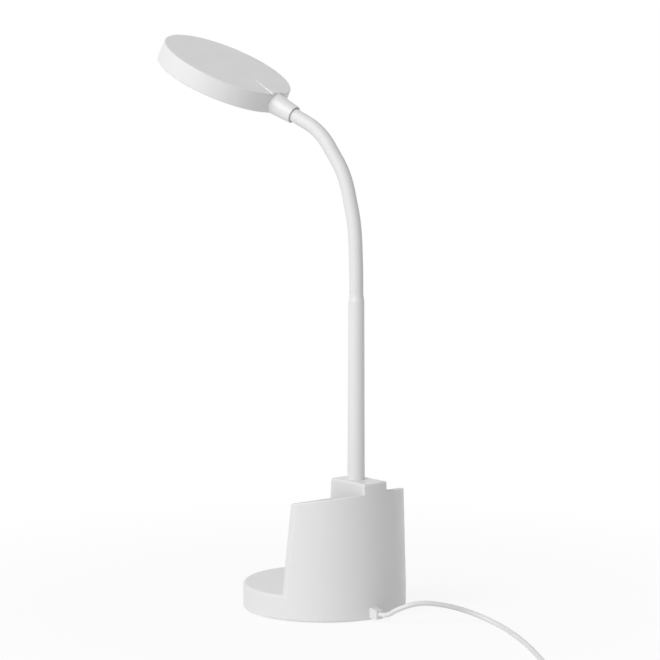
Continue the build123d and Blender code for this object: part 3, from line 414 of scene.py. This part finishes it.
curve = bpy.data.curves.new("supply_cable", "CURVE")
curve.dimensions = "3D"
curve.bevel_depth = CABLE_RADIUS
curve.bevel_resolution = 8
curve.resolution_u = 10
curve.use_fill_caps = True
spline = curve.splines.new("NURBS")
spline.points.add(len(route) - 1)
for control, place in zip(spline.points, route):
    control.co = (*place, 1)
spline.order_u = 3
spline.use_endpoint_u = True
curve.materials.append(looks["cable_white"])
cable = add_object("supply_cable", curve)
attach(cable, "base")
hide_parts("usb_cable", "usb_cable_coil", "usb_cable_tail")

# ---- Camera ------------------------------------------------------------------------------------------
CAMERA = Vector((1.3319, 1.5809, 0.4579))
AIM = Vector((-0.0029, 0.0032, 0.2225))
SENSOR_WIDTH = 36  # in millimetres, as is the lens
LENS = 143.4
CLIP_END = 50

back = (CAMERA - AIM).normalized()
right = Vector((0, 0, 1)).cross(back).normalized()
camera_data = bpy.data.cameras.new("photo_camera")
camera_data.sensor_width = SENSOR_WIDTH
camera_data.lens = LENS
camera_data.clip_end = CLIP_END
camera = add_object("photo_camera", camera_data)
camera.matrix_world = Matrix.Translation(CAMERA) @ back.to_track_quat("Z", "Y").to_matrix().to_4x4()
bpy.context.scene.camera = camera

# ---- Floor and light ---------------------------------------------------------------------------------
FLOOR_HALF = 12
FLOOR_ROUGHNESS = 0.9
FADE_START, FADE_END = 0.12, 0.5  # the shadow on the floor fades between these, from the middle out
FADE_SHARE = 0.88  # share of plain white at the start
SKY_STRENGTH = 0.39


def white_for_camera(tree, shaded, share):
    """Mixes plain white over a shader where the camera, a mirror or a clear surface sees it."""
    nodes, links = tree.nodes, tree.links
    light_path = nodes.new("ShaderNodeLightPath")
    seen = light_path.outputs["Is Camera Ray"]
    for other in ("Is Glossy Ray", "Is Transmission Ray"):
        either = nodes.new("ShaderNodeMath")
        either.operation = "MAXIMUM"
        links.new(seen, either.inputs[0])
        links.new(light_path.outputs[other], either.inputs[1])
        seen = either.outputs[0]
    weight = nodes.new("ShaderNodeMath")
    weight.operation = "MULTIPLY"
    links.new(seen, weight.inputs[0])
    if isinstance(share, float):
        weight.inputs[1].default_value = share
    else:
        links.new(share, weight.inputs[1])
    white = nodes.new("ShaderNodeEmission")
    mix = nodes.new("ShaderNodeMixShader")
    links.new(weight.outputs[0], mix.inputs[0])
    links.new(shaded, mix.inputs[1])
    links.new(white.outputs[0], mix.inputs[2])
    return mix.outputs[0]


floor_look = Nodes("floor_white")
floor_look.colours(floor_look.noise(6), grey(0.86), grey(0.88))
floor_look.shader.inputs["Roughness"].default_value = FLOOR_ROUGHNESS
distance = floor_look.add("ShaderNodeVectorMath", operation="LENGTH")
floor_look.link(floor_look.place, distance.inputs[0])
fade = floor_look.spread(distance.outputs["Value"], FADE_SHARE, 1.0, FADE_START, FADE_END)
seen_floor = white_for_camera(floor_look.tree, floor_look.shader.outputs[0], fade)
floor_look.link(seen_floor, floor_look.tree.nodes["Material Output"].inputs["Surface"])
floor_corners = [(FLOOR_HALF * x, FLOOR_HALF * y, 0) for x, y in ((-1, -1), (1, -1), (1, 1), (-1, 1))]
floor_mesh = bpy.data.meshes.new("floor")
floor_mesh.from_pydata(floor_corners, [], [(0, 1, 2, 3)])
floor_mesh.materials.append(floor_look.material)
floor = add_object("floor", floor_mesh)

world = bpy.data.worlds.new("studio")
world.use_nodes = True
bpy.context.scene.world = world
sky = world.node_tree.nodes["Background"]
sky.inputs["Color"].default_value = (1, 1, 1, 1)
sky.inputs["Strength"].default_value = SKY_STRENGTH
seen_sky = white_for_camera(world.node_tree, sky.outputs[0], 1.0)
world.node_tree.links.new(seen_sky, world.node_tree.nodes["World Output"].inputs["Surface"])


def soft_light(name, across, near, up, size, power):
    """A large square lamp that faces the middle of the object: to the camera's right, nearer and higher."""
    data = bpy.data.lights.new(name, "AREA")
    data.shape = "SQUARE"
    data.size = size
    data.energy = power
    place = AIM + across * right + near * back + Vector((0, 0, up))
    lamp = add_object(name, data)
    lamp.location = place
    lamp.rotation_euler = (place - AIM).to_track_quat("Z", "Y").to_euler()


soft_light("key", across=-2.43, near=2.7, up=2.1, size=3, power=122)
soft_light("fill", across=1.2, near=2.2, up=0.9, size=2, power=1)

bpy.context.scene.view_settings.view_transform = "Standard"
